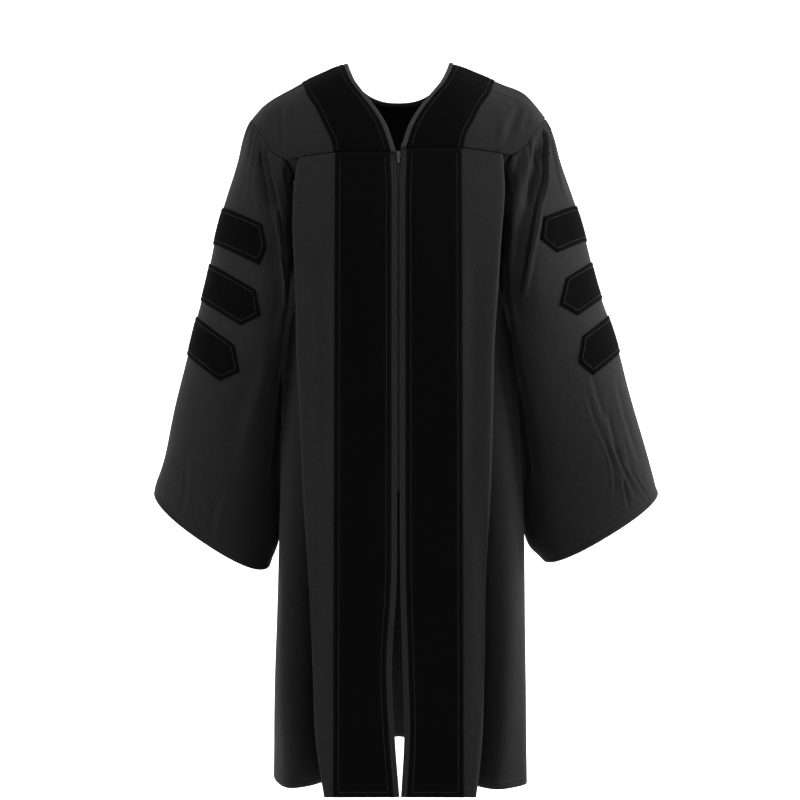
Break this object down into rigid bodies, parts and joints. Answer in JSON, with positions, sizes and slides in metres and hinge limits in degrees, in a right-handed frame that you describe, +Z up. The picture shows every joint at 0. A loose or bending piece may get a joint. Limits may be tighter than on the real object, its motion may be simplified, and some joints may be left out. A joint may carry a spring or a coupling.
{
  "type": "doctoral graduation gown, worn and filled out",
  "caption": "Full-length open-neck gown with velvet front facings, gathered bell sleeves with velvet bars, fluted back and a front zip.",
  "frame": {"origin": "between the wearer's shoulders, at the height of the two neck points, where the wearer holds the gown up", "axes": "+Z up along the gown's length, the open front faces -Y, +X towards the wearer's left"},
  "size_m": [0.94, 0.4478, 1.3208],
  "materials": {
    "gown_cloth": "black plain-weave polyester, matt with a soft sheen at the folds",
    "cotton_velvet": "deep black cut-pile velvet",
    "zip_tape": "black woven zip tape",
    "zip_metal": "grey die-cast zip slider and pull"
  },
  "bodies": {
    "gown": {"front_panel_right": "gown_cloth", "front_panel_left": "gown_cloth", "back_panel": "gown_cloth", "front_yoke_right": "gown_cloth", "front_yoke_left": "gown_cloth", "back_yoke": "gown_cloth", "sleeve_right": "gown_cloth", "sleeve_left": "gown_cloth", "neck_binding_right": "gown_cloth", "neck_binding_left": "gown_cloth", "neck_binding_back": "gown_cloth", "velvet_front_right": "cotton_velvet", "velvet_front_left": "cotton_velvet", "velvet_yoke_right": "cotton_velvet", "velvet_yoke_left": "cotton_velvet", "velvet_back_neck": "cotton_velvet", "sleeve_bar_right_1": "cotton_velvet", "sleeve_bar_right_2": "cotton_velvet", "sleeve_bar_right_3": "cotton_velvet", "sleeve_bar_left_1": "cotton_velvet", "sleeve_bar_left_2": "cotton_velvet", "sleeve_bar_left_3": "cotton_velvet", "zip_tape_right": "zip_tape", "zip_tape_left": "zip_tape", "zip_slider": "zip_metal"},
    "pull_tab": {"zip_pull_tab": "zip_metal"}
  },
  "joints": [
    {"name": "pull_tab_swing", "type": "hinge", "parent": "gown", "child": "pull_tab", "pos_m": [0, -0.13043, -0.1897], "axis": [-1, 0, 0], "range_deg": [0, 150]}
  ]
}
